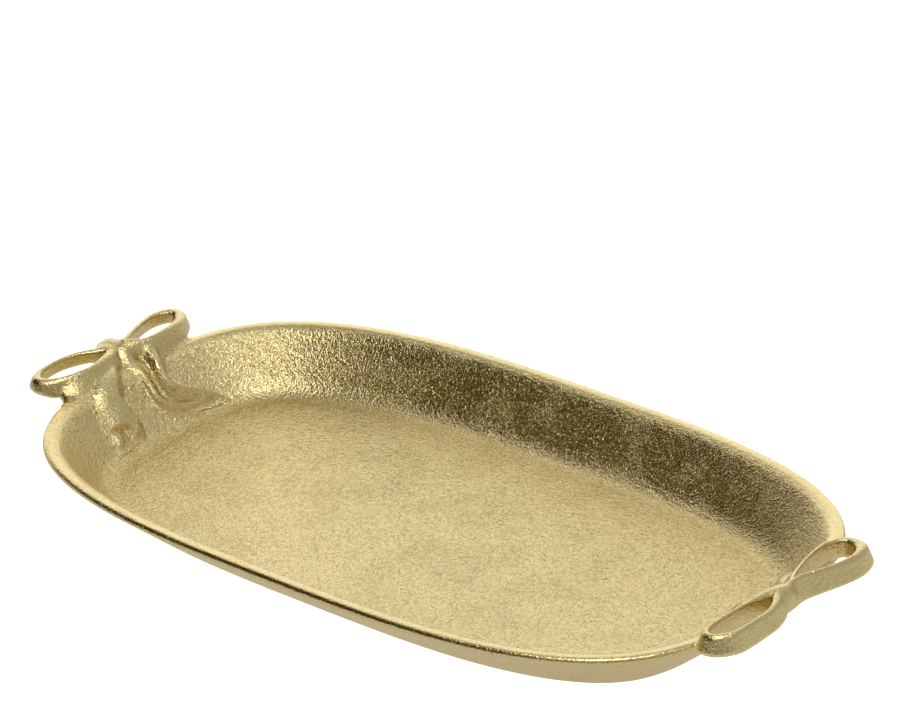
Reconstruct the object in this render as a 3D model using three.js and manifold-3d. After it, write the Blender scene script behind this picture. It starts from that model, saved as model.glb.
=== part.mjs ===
// A cast brass serving tray: a shallow oval pan, a ribbon bow brazed over its rim at each end, and four
// stick-on feet. Millimetres, +Z up. The origin is on the surface that the tray stands on, under its middle.
import * as THREE from "three";
import { mergeVertices } from "three/addons/utils/BufferGeometryUtils.js";
import Module from "manifold-3d";

const wasm = await Module();
wasm.setup();

// Pan
const RIM_LENGTH = 410; // along X, over the outer edges of the rim
const RIM_WIDTH = 238; // along Y
const OUTLINE_POWER = 3.05; // 2 is an ellipse, and a larger power is squarer
const PAN_HEIGHT = 32; // from the underside of the pan to the top of its rim
const FLOOR_THICKNESS = 4;
const WALL_THICKNESS = 3.2; // level with the top of the cove
const WALL_LEAN = 33.5; // how far the rim's outer edge overhangs the edge of the base
const RIM_EDGE_RADIUS = 2.6;
const LIP_FLAT = 4; // from the rim's outer edge to where the lip starts to roll down
const LIP_ROLL = 7; // width of that roll
const LIP_DROP = 4.6; // depth of that roll
const COVE_WIDTH = 12;
const COVE_HEIGHT = 7;
const BASE_EDGE_RADIUS = 5;
const PAN_SEGMENTS = 112;
const PROFILE_STEPS = 4; // straight steps in each round stretch of the wall's profile

// Feet
const FOOT_DIAMETER = 14;
const FOOT_HEIGHT = 2;
const FOOT_EDGE_RADIUS = 1.2;
const FOOT_FROM_BASE_EDGE = 16; // from the edge of the base to the middle of a foot
const FOOT_ANGLE = 33; // degrees from the tray's long axis
const FOOT_SEGMENTS = 24;

// Bow. Its own frame has X outward and Z up. It starts at the outer edge of the end of the rim, level with the top.
const BRAZE_GAP = 0.3; // between the bow and the pan
const RIBBON_THICKNESS = 4.2;
const RIBBON_HEIGHT = 11.5;
const RIBBON_ROUNDING = 1.4;
const RIBBON_DROP = 1.2; // how far the loops hang below the top of the rim
const LOOPS_OUT = 2.4; // from the rim's outer edge to where the long axes of the two loops meet
const LOOP_TAPER = 0.5; // 0 gives an oval loop, and more draws its knot end to a point
const LOOP_STEPS = 28;
const KNOT_OUT = 6.5; // from the rim's outer edge to the middle of the knot
const KNOT_WIDTH = 18;
const KNOT_DEPTH = 19;
const KNOT_HEIGHT = 12.5;
const TAIL_RELIEF = 4; // how far a tail stands above the wall
const TAIL_ROOT = 2.4; // how far it reaches below that surface before it is cut to fit
const TAIL_STEPS = 20;
const TAIL_SIDES = 12;
// Stations down the middle of each tail: [inward from the rim's outer edge, to the side, width].
const STRAIGHT_TAIL = [
  [-4, 6, 14],
  [0, 15, 22],
  [6, 22, 22],
  [13, 26, 20],
  [20, 26, 19],
  [27, 26.5, 17],
];
const SWEPT_TAIL = [
  [-4, -5, 14],
  [2, -9, 20],
  [8, -9.5, 19],
  [14.5, -9.5, 17],
  [20, -13, 15],
  [24, -19, 14],
  [27, -28, 11],
  [30, -37.5, 6],
];
// The two bows are shaped by hand and aren't quite alike. Angles are in degrees. Sweep is how far each loop leans
// outward, turn is how far the pair is turned outward on the straight tail's side, and slide is how far the bow is
// moved along the rim towards that side. The loop's length runs from where the axes meet to its tip, and its
// width is over the ribbon.
const BOWS = {
  left: { sweep: 10.4, turn: 1.9, slide: 0, loopLength: 53.5, loopWidth: 25.5 },
  right: { sweep: 7, turn: -2, slide: -1, loopLength: 59.5, loopWidth: 23 },
};

const HALF_LENGTH = RIM_LENGTH / 2;
const HALF_WIDTH = RIM_WIDTH / 2;
const RIM_TOP = FOOT_HEIGHT + PAN_HEIGHT;
const FLOOR_TOP = FOOT_HEIGHT + FLOOR_THICKNESS;
const BRASS = { color: 0xd1b766, roughness: 0.38, metalness: 1 };
const RUBBER = { color: 0x2b2926, roughness: 0.85, metalness: 0 };

// The rim's outer edge is a superellipse. This gives its point and outward normal in a direction from the middle.
function rimAt(angle) {
  const c = Math.cos(angle);
  const s = Math.sin(angle);
  const power = OUTLINE_POWER;
  const sum = (Math.abs(c) / HALF_LENGTH) ** power + (Math.abs(s) / HALF_WIDTH) ** power;
  const size = sum ** (-1 / power);
  const point = new THREE.Vector2(c * size, s * size);
  const normal = new THREE.Vector2(
    (Math.sign(c) * Math.abs(point.x / HALF_LENGTH) ** (power - 1)) / HALF_LENGTH,
    (Math.sign(s) * Math.abs(point.y / HALF_WIDTH) ** (power - 1)) / HALF_WIDTH,
  ).normalize();
  return { point, normal };
}

// How far out along X the rim's outer edge is at a place along Y.
function rimReach(y) {
  const share = Math.abs(y / HALF_WIDTH) ** OUTLINE_POWER;
  return HALF_LENGTH * (1 - share) ** (1 / OUTLINE_POWER);
}

// The wall's profile, as points of [inward from the rim's outer edge, height].
const wallFoot = FLOOR_TOP + COVE_HEIGHT;
const outerLeanAt = (z) => WALL_LEAN * (1 - (z - FOOT_HEIGHT) / (PAN_HEIGHT - RIM_EDGE_RADIUS));
const coveTop = outerLeanAt(wallFoot) + WALL_THICKNESS;
const floorEdge = coveTop + COVE_WIDTH;

function outsideProfile() {
  const path = new THREE.Path();
  const start = new THREE.Vector2(WALL_LEAN + BASE_EDGE_RADIUS, FOOT_HEIGHT);
  const end = new THREE.Vector2(outerLeanAt(FOOT_HEIGHT + BASE_EDGE_RADIUS), FOOT_HEIGHT + BASE_EDGE_RADIUS);
  path.moveTo(start.x, start.y);
  path.quadraticCurveTo(WALL_LEAN, FOOT_HEIGHT, end.x, end.y);
  path.lineTo(0, RIM_TOP - RIM_EDGE_RADIUS);
  path.quadraticCurveTo(0, RIM_TOP, RIM_EDGE_RADIUS, RIM_TOP);
  return path.getPoints(PROFILE_STEPS);
}

function insideProfile() {
  const path = new THREE.Path();
  const wallSlope = (RIM_TOP - LIP_DROP - wallFoot) / (coveTop - LIP_FLAT - LIP_ROLL);
  path.moveTo(LIP_FLAT, RIM_TOP);
  path.quadraticCurveTo(
    LIP_FLAT + LIP_ROLL - LIP_DROP / wallSlope,
    RIM_TOP,
    LIP_FLAT + LIP_ROLL,
    RIM_TOP - LIP_DROP,
  );
  path.lineTo(coveTop, wallFoot);
  path.quadraticCurveTo(coveTop + COVE_HEIGHT / wallSlope, FLOOR_TOP, floorEdge, FLOOR_TOP);
  return path.getPoints(PROFILE_STEPS);
}

// Turns a profile round the pan's outline. The lathe makes round rings, and each ring is then moved to the
// outline at its own distance inward. Inside the floor's edge the rings shrink evenly to the middle.
function sweepRound(profile) {
  const radii = profile.map((p) => new THREE.Vector2(Math.max(HALF_LENGTH - p.x, 0), p.y));
  const geometry = new THREE.LatheGeometry(radii, PAN_SEGMENTS).rotateX(Math.PI / 2);
  const position = geometry.getAttribute("position");
  const floorRadius = HALF_LENGTH - floorEdge;
  for (let i = 0; i < position.count; i++) {
    const radius = Math.hypot(position.getX(i), position.getY(i));
    const { point, normal } = rimAt(Math.atan2(position.getY(i), position.getX(i)));
    const inward = Math.min(HALF_LENGTH - radius, floorEdge);
    point.addScaledVector(normal, -inward).multiplyScalar(Math.min(radius / floorRadius, 1));
    position.setXY(i, point.x, point.y);
  }
  return geometry;
}

// Moves a profile sideways to leave a clearance on its left as it is walked.
function offsetProfile(profile, clearance) {
  return profile.map((p, i) => {
    const before = profile[Math.max(i - 1, 0)];
    const after = profile[Math.min(i + 1, profile.length - 1)];
    const along = after.clone().sub(before).normalize();
    return new THREE.Vector2(p.x + along.y * clearance, p.y - along.x * clearance);
  });
}

function solidOf(geometry) {
  const bare = new THREE.BufferGeometry().setAttribute("position", geometry.getAttribute("position"));
  if (geometry.index) bare.setIndex(geometry.index);
  const merged = mergeVertices(bare, 1e-3);
  return new wasm.Manifold(
    new wasm.Mesh({
      numProp: 3,
      vertProperties: merged.getAttribute("position").array,
      triVerts: new Uint32Array(merged.index.array),
    }),
  );
}

// Pieces that run through each other can trap slivers of air, so only the outer surface is kept.
function geometryOf(solid) {
  const surfaces = solid.decompose().sort((a, b) => b.volume() - a.volume());
  const mesh = surfaces[0].getMesh();
  return new THREE.BufferGeometry()
    .setAttribute("position", new THREE.BufferAttribute(mesh.vertProperties, mesh.numProp))
    .setIndex(new THREE.BufferAttribute(mesh.triVerts, 1));
}

function panGeometry() {
  const middleBelow = new THREE.Vector2(HALF_LENGTH, FOOT_HEIGHT);
  const middleAbove = new THREE.Vector2(HALF_LENGTH, FLOOR_TOP);
  return sweepRound([middleBelow, ...outsideProfile(), ...insideProfile(), middleAbove]);
}

// Everything that a bow has to stay out of: the pan grown by the braze gap, and all that lies below it.
function panCutter() {
  const top = [...outsideProfile().slice(-PROFILE_STEPS - 1), ...insideProfile()];
  const grown = offsetProfile(top, -BRAZE_GAP);
  const below = -FOOT_HEIGHT;
  return solidOf(
    sweepRound([
      new THREE.Vector2(HALF_LENGTH, below),
      new THREE.Vector2(-BRAZE_GAP, below),
      ...grown,
      new THREE.Vector2(HALF_LENGTH, FLOOR_TOP + BRAZE_GAP),
    ]),
  );
}

// Height of the pan's inside, in the bow's frame, near the end of the tray.
function insideHeight(out, side) {
  const slopeStep = 0.5;
  const lean = (rimReach(side + slopeStep) - rimReach(side - slopeStep)) / (2 * slopeStep);
  const inward = (rimReach(side) - HALF_LENGTH - out) / Math.hypot(1, lean);
  const profile = insideProfile();
  const next = profile.findIndex((p) => p.x > inward);
  if (next === 0) return 0;
  if (next < 0) return FLOOR_TOP - RIM_TOP;
  const share = (inward - profile[next - 1].x) / (profile[next].x - profile[next - 1].x);
  return THREE.MathUtils.lerp(profile[next - 1].y, profile[next].y, share) - RIM_TOP;
}

function insideNormal(out, side) {
  const step = 1;
  return new THREE.Vector3(
    insideHeight(out - step, side) - insideHeight(out + step, side),
    insideHeight(out, side - step) - insideHeight(out, side + step),
    2 * step,
  ).normalize();
}

// A tail is a flattened tube along its stations. Its middle lies on the pan's inside, and its lower half is cut off.
function tailGeometry(stations, slide) {
  const middle = stations.map(([inward, side]) => {
    return new THREE.Vector3(-inward, side + slide, insideHeight(-inward, side + slide));
  });
  const curve = new THREE.CatmullRomCurve3(middle);
  const widths = new THREE.CatmullRomCurve3(stations.map((s) => new THREE.Vector3(s[2], 0, 0)));
  const geometry = new THREE.CylinderGeometry(1, 1, 1, TAIL_SIDES, TAIL_STEPS);
  const position = geometry.getAttribute("position");
  const place = new THREE.Vector3();
  for (let i = 0; i < position.count; i++) {
    place.fromBufferAttribute(position, i);
    const along = place.y + 0.5;
    const centre = curve.getPoint(along);
    const normal = insideNormal(centre.x, centre.y);
    const across = curve.getTangent(along).cross(normal).normalize();
    const rise = place.z > 0 ? place.z * TAIL_RELIEF : place.z * TAIL_ROOT;
    centre.addScaledVector(across, (place.x * widths.getPoint(along).x) / 2).addScaledVector(normal, rise);
    position.setXYZ(i, centre.x, centre.y, centre.z);
  }
  return geometry;
}

// A loop seen from above: a drop-shaped ring whose pointed end is in the knot.
function dropOutline(length, width) {
  const points = [];
  for (let i = 0; i < LOOP_STEPS; i++) {
    const turn = (2 * Math.PI * i) / LOOP_STEPS;
    const along = (length * (1 - Math.cos(turn))) / 2;
    const across = (width / 2) * Math.sin(turn) * Math.abs(Math.sin(turn / 2)) ** LOOP_TAPER;
    points.push(new THREE.Vector2(across, along));
  }
  return points;
}

// The rounding widens the ribbon all round, so both outlines are drawn that much inside it.
function loopSolid({ loopLength, loopWidth }) {
  const rounding = new THREE.Vector2(0, RIBBON_ROUNDING);
  const inset = new THREE.Vector2(0, RIBBON_THICKNESS - RIBBON_ROUNDING);
  const outer = dropOutline(loopLength - 2 * rounding.y, loopWidth - 2 * rounding.y);
  const inner = dropOutline(loopLength - 2 * inset.y, loopWidth - 2 * inset.y);
  const shape = new THREE.Shape(outer.map((p) => p.add(rounding)));
  shape.holes.push(new THREE.Path(inner.map((p) => p.add(inset))));
  const geometry = new THREE.ExtrudeGeometry(shape, {
    depth: RIBBON_HEIGHT - 2 * RIBBON_ROUNDING,
    bevelThickness: RIBBON_ROUNDING,
    bevelSize: RIBBON_ROUNDING,
    bevelSegments: 2,
    steps: 1,
  });
  return solidOf(geometry.translate(0, 0, RIBBON_ROUNDING));
}

function bowSolid(bow) {
  const slide = bow.slide;
  const loop = loopSolid(bow);
  const onStraightSide = loop.rotate([0, 0, -bow.sweep - bow.turn]);
  const onSweptSide = loop.rotate([0, 0, 180 + bow.sweep - bow.turn]);
  const loops = onStraightSide.add(onSweptSide).translate([LOOPS_OUT, slide, -RIBBON_DROP]);
  const ball = new THREE.SphereGeometry(0.5, 18, 12).rotateX(Math.PI / 2);
  ball.scale(KNOT_DEPTH, KNOT_WIDTH, KNOT_HEIGHT);
  ball.translate(KNOT_OUT, slide, (KNOT_HEIGHT - RIBBON_DROP) / 2);
  return loops
    .add(solidOf(ball))
    .add(solidOf(tailGeometry(STRAIGHT_TAIL, slide)))
    .add(solidOf(tailGeometry(SWEPT_TAIL, slide)))
    .translate([HALF_LENGTH, 0, RIM_TOP])
    .subtract(panCutter());
}

function footGeometry() {
  const path = new THREE.Path();
  const radius = FOOT_DIAMETER / 2;
  path.moveTo(0, 0);
  path.lineTo(radius - FOOT_EDGE_RADIUS, 0);
  path.absarc(radius - FOOT_EDGE_RADIUS, FOOT_EDGE_RADIUS, FOOT_EDGE_RADIUS, -Math.PI / 2, 0);
  path.lineTo(radius, FOOT_HEIGHT);
  path.lineTo(0, FOOT_HEIGHT);
  return new THREE.LatheGeometry(path.getPoints(PROFILE_STEPS), FOOT_SEGMENTS).rotateX(Math.PI / 2);
}

function named(name, geometry, finish) {
  geometry.computeVertexNormals();
  const mesh = new THREE.Mesh(geometry, new THREE.MeshStandardMaterial(finish));
  mesh.name = name;
  return mesh;
}

const tray = new THREE.Group();
tray.add(named("pan", panGeometry(), BRASS));

for (const [end, sizes] of Object.entries(BOWS)) {
  const bow = named("bow_" + end, geometryOf(bowSolid(sizes)), BRASS);
  if (end === "left") bow.rotation.z = Math.PI;
  tray.add(bow);
}

const corners = { back_right: 1, back_left: 2, front_left: 3, front_right: 4 };
for (const [corner, quarter] of Object.entries(corners)) {
  const turn = quarter % 2 ? FOOT_ANGLE : 180 - FOOT_ANGLE;
  const angle = THREE.MathUtils.degToRad(quarter > 2 ? turn + 180 : turn);
  const { point, normal } = rimAt(angle);
  point.addScaledVector(normal, -WALL_LEAN - FOOT_FROM_BASE_EDGE);
  const foot = named("foot_" + corner, footGeometry(), RUBBER);
  foot.position.set(point.x, point.y, 0);
  tray.add(foot);
}

export default tray;
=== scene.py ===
"""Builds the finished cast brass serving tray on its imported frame, with a plain studio round it."""

import math

import bmesh
import bpy
import numpy as np
from bpy.props import FloatProperty, FloatVectorProperty, IntProperty, PointerProperty
from mathutils import Matrix, Vector


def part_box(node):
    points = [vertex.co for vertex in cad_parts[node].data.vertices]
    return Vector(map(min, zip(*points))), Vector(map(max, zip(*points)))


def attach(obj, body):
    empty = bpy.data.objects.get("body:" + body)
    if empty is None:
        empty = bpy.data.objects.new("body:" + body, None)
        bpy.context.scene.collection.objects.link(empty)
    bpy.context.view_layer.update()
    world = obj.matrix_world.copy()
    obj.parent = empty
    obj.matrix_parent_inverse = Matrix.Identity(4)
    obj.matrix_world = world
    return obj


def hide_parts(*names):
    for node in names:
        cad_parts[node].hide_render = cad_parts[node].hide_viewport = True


bl_info = {
    "name": "Cast brass serving tray",
    "version": (1, 0, 0),
    "blender": (4, 5, 0),
    "location": "View3D > Sidebar > Tray",
    "description": "Makes an oval cast tray with a ribbon bow at each end, and the studio it stands in",
    "category": "Object",
}

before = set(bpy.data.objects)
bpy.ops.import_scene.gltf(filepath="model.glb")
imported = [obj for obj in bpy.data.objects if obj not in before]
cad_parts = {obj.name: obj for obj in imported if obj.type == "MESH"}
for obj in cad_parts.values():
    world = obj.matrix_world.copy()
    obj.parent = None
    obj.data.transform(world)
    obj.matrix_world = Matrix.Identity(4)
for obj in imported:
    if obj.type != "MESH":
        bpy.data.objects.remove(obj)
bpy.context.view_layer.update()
PAN_LOW, PAN_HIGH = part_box("pan")
HALF_LENGTH = PAN_HIGH[0]
HALF_WIDTH = PAN_HIGH[1]
RIM_TOP = PAN_HIGH[2]
PAN_BASE = PAN_LOW[2]
MM = 0.001
GRID = 0.25  # step in mm of the section's field
AROUND_FOOT = 48  # steps round a foot
GRIDS = ((-38, 26), (-64, 64), (-31, 16))  # reach of a bow's field in mm: out, side, up
BURIED = 1.0  # how deep in mm a bow's flange runs into the pan
MARGIN = 0.2  # how far in mm a bow keeps inside its box

# The camera: azimuth, elevation and roll in degrees, then distance and aim.
VIEW = (42.67, 26.12, -3.0)
VIEW_AWAY = 2.64376
AIM_RIGHT, AIM_UP = 5.8 * MM, 85.21 * MM

FLOOR_REACH = 4.0
# The two floors: name, height, glow, and whether the camera sees it.
FLOORS = (("studio_floor", 0, 1.25, True), ("studio_table", -0.05 * MM, 0.3, False))
OVERHEAD = ((0.30, -0.26, 0.90), 1.45, (0.7, 0.5))  # the area light: way, distance and size
# Panels that show only in reflections: name, way, distance, width, height, tint and strength. The far wall
# sees a dark card beside the tray, and the near faces see a dim room.
CARDS = (
    ("dark_card", (-0.57, -0.62, 0.64), 1.3, 3.0, 1.7, (1, 0.72, 0.08), 0.035),
    ("backdrop", (-0.68, 0.62, 0.36), 2.4, 3.9, 2.3, (1, 1, 1), 1.29),
    ("dim_room", (0.66, -0.66, 0.22), 3.4, 4.2, 1.4, (1, 0.92, 0.8), 0.16),
)


def length(name, value, about):
    """A size in metres, given here in millimetres."""
    default = value * MM
    return FloatProperty(name=name, description=about, default=default, min=0, unit="LENGTH", precision=5)


def share(name, value, about):
    return FloatProperty(name=name, description=about, default=value, min=0, max=1, subtype="FACTOR")


def colour(name, value, about):
    limits = {"min": 0, "max": 1, "size": 3, "subtype": "COLOR"}
    return FloatVectorProperty(name=name, description=about, default=value, **limits)


class TrayPanSizes(bpy.types.PropertyGroup):
    """Sizes of the pan."""

    outline_power: FloatProperty(
        name="Outline power", description="2 is an ellipse, and more is squarer", default=3.05, min=2, max=8
    )
    wall_lean: length("Wall lean", 33.5, "How far the rim's edge overhangs the edge of the base")
    wall_thickness: length("Wall thickness", 3.2, "Thickness of the wall above the cove")
    floor_thickness: length("Floor thickness", 4, "Thickness of the floor")
    rim_edge: length("Rim edge radius", 2.6, "Rounding of the rim's outer edge")
    lip_flat: length("Lip flat", 4, "From the rim's outer edge to the start of the inner roll")
    lip_roll: length("Lip roll", 7, "Width of the roll from the lip into the wall")
    lip_drop: length("Lip drop", 4.6, "Depth of that roll")
    cove_width: length("Cove width", 12, "Width of the curve between wall and floor")
    cove_height: length("Cove height", 7, "Height of that curve")
    base_edge: length("Base edge radius", 5, "Rounding between the outer wall and the underside")
    waviness: length("Cast waviness", 0.1, "Depth of the broad unevenness of the casting")
    wave_size: length("Wave size", 19, "Width of that unevenness")
    ripple: length("Sand ripple", 0.07, "Depth of the fine unevenness left by the sand")
    segments: IntProperty(name="Segments", description="Steps round the pan", default=560, min=64)


class TrayBowSizes(bpy.types.PropertyGroup):
    """Sizes of the bows."""

    ribbon_thickness: length("Ribbon thickness", 4.3, "Thickness of the loops' ribbon")
    ribbon_height: length("Ribbon height", 10.6, "Height of the loops' ribbon")
    ribbon_rounding: length("Ribbon rounding", 1.9, "Rounding of the ribbon's edges")
    draft: FloatProperty(
        name="Draft", description="Slope of the ribbon's outer face", default=0.18, min=0, max=0.3
    )
    fillet: length("Fillet", 3.2, "How widely the bow flows into the rim")
    step: length("Mesh step", 0.55, "Size of the steps the bow's surface is made in")


class TrayFinish(bpy.types.PropertyGroup):
    """Colours and surface of the metal and the rubber."""

    brass: colour("Brass", (0.82, 0.675, 0.335), "Colour of the clean metal")
    # Colour of the real patina in pits and sand dents, and also of the painted shade that darkens the bows'
    # creases.
    patina_and_shade: colour("Patina", (0.36, 0.255, 0.05), "Colour of the metal in pits and hollows")
    rubber: colour("Rubber", (0.03, 0.028, 0.025), "Colour of the feet")
    cast_roughness: share("Cast roughness", 0.195, "Roughness of the metal as it was cast")
    rubbed_roughness: share("Rubbed roughness", 0.25, "Roughness where the metal was filed and rubbed")
    grain_size: length("Grain size", 0.95, "Size of the sand grain")
    grain_depth: length("Grain depth", 0.85, "Depth of the sand grain")


class TrayStage(bpy.types.PropertyGroup):
    """The studio."""

    floor: colour("Floor", (0.85, 0.84, 0.83), "Colour of the floor")
    sky: FloatProperty(
        name="Room light", description="Strength of the light from all round", default=0.46, min=0
    )
    key: FloatProperty(
        name="Overhead light", description="Power of the overhead light", default=6.8, min=0, unit="POWER"
    )
    lens: FloatProperty(
        name="Lens", description="Focal length of the camera", default=222.66, min=1, unit="CAMERA"
    )


# ---------------------------------------------------------------------------------------------- shared tools


def new_object(name, mesh):
    made = bpy.data.objects.new(name, mesh)
    bpy.context.scene.collection.objects.link(made)
    return made


def mesh_of(name, points, faces, smooth=True):
    mesh = bpy.data.meshes.new(name)
    mesh.from_pydata([tuple(p) for p in points], [], [tuple(f) for f in faces])
    if smooth:
        mesh.shade_smooth()
    mesh.update()
    return mesh


def facing_out(mesh):
    """Merges doubles and turns all faces outward."""
    bm = bmesh.new()
    bm.from_mesh(mesh)
    bmesh.ops.remove_doubles(bm, verts=bm.verts, dist=1e-6)
    bmesh.ops.recalc_face_normals(bm, faces=bm.faces)
    bm.to_mesh(mesh)
    bm.free()
    mesh.update()


def dress(made, material, slot_name, *nodes):
    """Gives a finished piece its material and ties it to the frame."""
    made.data.materials.clear()
    made.data.materials.append(material)
    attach(made, "root")
    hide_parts(*nodes)


class Nodes:
    """Short ways to add nodes to a tree. Inputs may be sockets or plain values."""

    def __init__(self, tree):
        self.tree = tree

    def add(self, kind, inputs=None, **settings):
        made = self.tree.nodes.new(kind)
        for name, value in settings.items():
            setattr(made, name, value)
        for key, value in (inputs or {}).items():
            self.feed(made.inputs[key], value)
        return made

    def feed(self, socket, value):
        if isinstance(value, bpy.types.NodeSocket):
            self.tree.links.new(value, socket)
        else:
            socket.default_value = value

    def math(self, operation, a, b=0.0, c=0.0, clamp=False):
        kind = "ShaderNodeMath"
        return self.add(kind, {0: a, 1: b, 2: c}, operation=operation, use_clamp=clamp).outputs[0]

    def vector(self, operation, a, b=None, scale=None):
        inputs = {0: a}
        if b is not None:
            inputs[1] = b
        if scale is not None:
            inputs["Scale"] = scale
        return self.add("ShaderNodeVectorMath", inputs, operation=operation).outputs[0]

    def ramp(self, value, low, high, start=0.0, end=1.0):
        inputs = {"Value": value, "From Min": low, "From Max": high, "To Min": start, "To Max": end}
        made = self.add("ShaderNodeMapRange", inputs, interpolation_type="SMOOTHSTEP")
        return made.outputs[0]

    def noise(self, where, size, detail=2.0, roughness=0.5, distortion=0.0):
        inputs = {"Vector": where, "Scale": 1 / size, "Detail": detail, "Roughness": roughness}
        inputs["Distortion"] = distortion
        return self.add("ShaderNodeTexNoise", inputs, noise_dimensions="3D").outputs[0]

    def mix(self, amount, a, b):
        made = self.add("ShaderNodeMix", data_type="RGBA")
        colours = [s for s in made.inputs if s.type == "RGBA"]
        self.feed(made.inputs[0], amount)
        self.feed(colours[0], a)
        self.feed(colours[1], b)
        return next(s for s in made.outputs if s.type == "RGBA")


# ---------------------------------------------------------------------------------------------------- pan


def even(start, end, step):
    """Points from start to end, without end, about a step apart."""
    start, end = np.array(start, float), np.array(end, float)
    count = max(1, round(float(np.linalg.norm(end - start)) / step))
    return [start + (end - start) * i / count for i in range(count)]


def bend(start, corner, end, count):
    """Points on a rounded corner, without the end."""
    start, corner, end = (np.array(p, float) for p in (start, corner, end))
    t = np.arange(count)[:, None] / count
    return list((1 - t) ** 2 * start + 2 * t * (1 - t) * corner + t**2 * end)


def wall_profile(pan, floor_steps=84):
    """The pan's section: distance in from the rim's outer edge, and height, from the underside's middle to
    the floor's middle. Also gives where the inner side starts and how far in the floor's edge is."""
    floor_top = PAN_BASE + pan.floor_thickness
    wall_foot = floor_top + pan.cove_height
    rise = RIM_TOP - PAN_BASE - pan.rim_edge

    def outer_lean(z):
        return pan.wall_lean * (1 - (z - PAN_BASE) / rise)

    cove_top = outer_lean(wall_foot) + pan.wall_thickness
    floor_edge = cove_top + pan.cove_width
    roll_end = pan.lip_flat + pan.lip_roll
    slope = (RIM_TOP - pan.lip_drop - wall_foot) / (cove_top - roll_end)
    middle = HALF_LENGTH
    base_start = pan.wall_lean + pan.base_edge
    wall_start = (outer_lean(PAN_BASE + pan.base_edge), PAN_BASE + pan.base_edge)
    under_rim = (0, RIM_TOP - pan.rim_edge)
    points = even((middle, PAN_BASE), (base_start, PAN_BASE), (middle - base_start) / 10)
    points += bend((base_start, PAN_BASE), (pan.wall_lean, PAN_BASE), wall_start, 5)
    points += even(wall_start, under_rim, 2.4 * MM)
    points += bend(under_rim, (0, RIM_TOP), (pan.rim_edge, RIM_TOP), 6)
    inner = len(points)
    points += even((pan.rim_edge, RIM_TOP), (pan.lip_flat, RIM_TOP), 0.8 * MM)
    roll_corner = (roll_end - pan.lip_drop / slope, RIM_TOP)
    points += bend((pan.lip_flat, RIM_TOP), roll_corner, (roll_end, RIM_TOP - pan.lip_drop), 8)
    points += even((roll_end, RIM_TOP - pan.lip_drop), (cove_top, wall_foot), 1.1 * MM)
    cove_corner = (cove_top + pan.cove_height / slope, floor_top)
    points += bend((cove_top, wall_foot), cove_corner, (floor_edge, floor_top), 14)
    points += even((floor_edge, floor_top), (middle, floor_top), (middle - floor_edge) / floor_steps)
    points.append(np.array((middle, floor_top)))
    return np.array(points), inner, floor_edge


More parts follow.
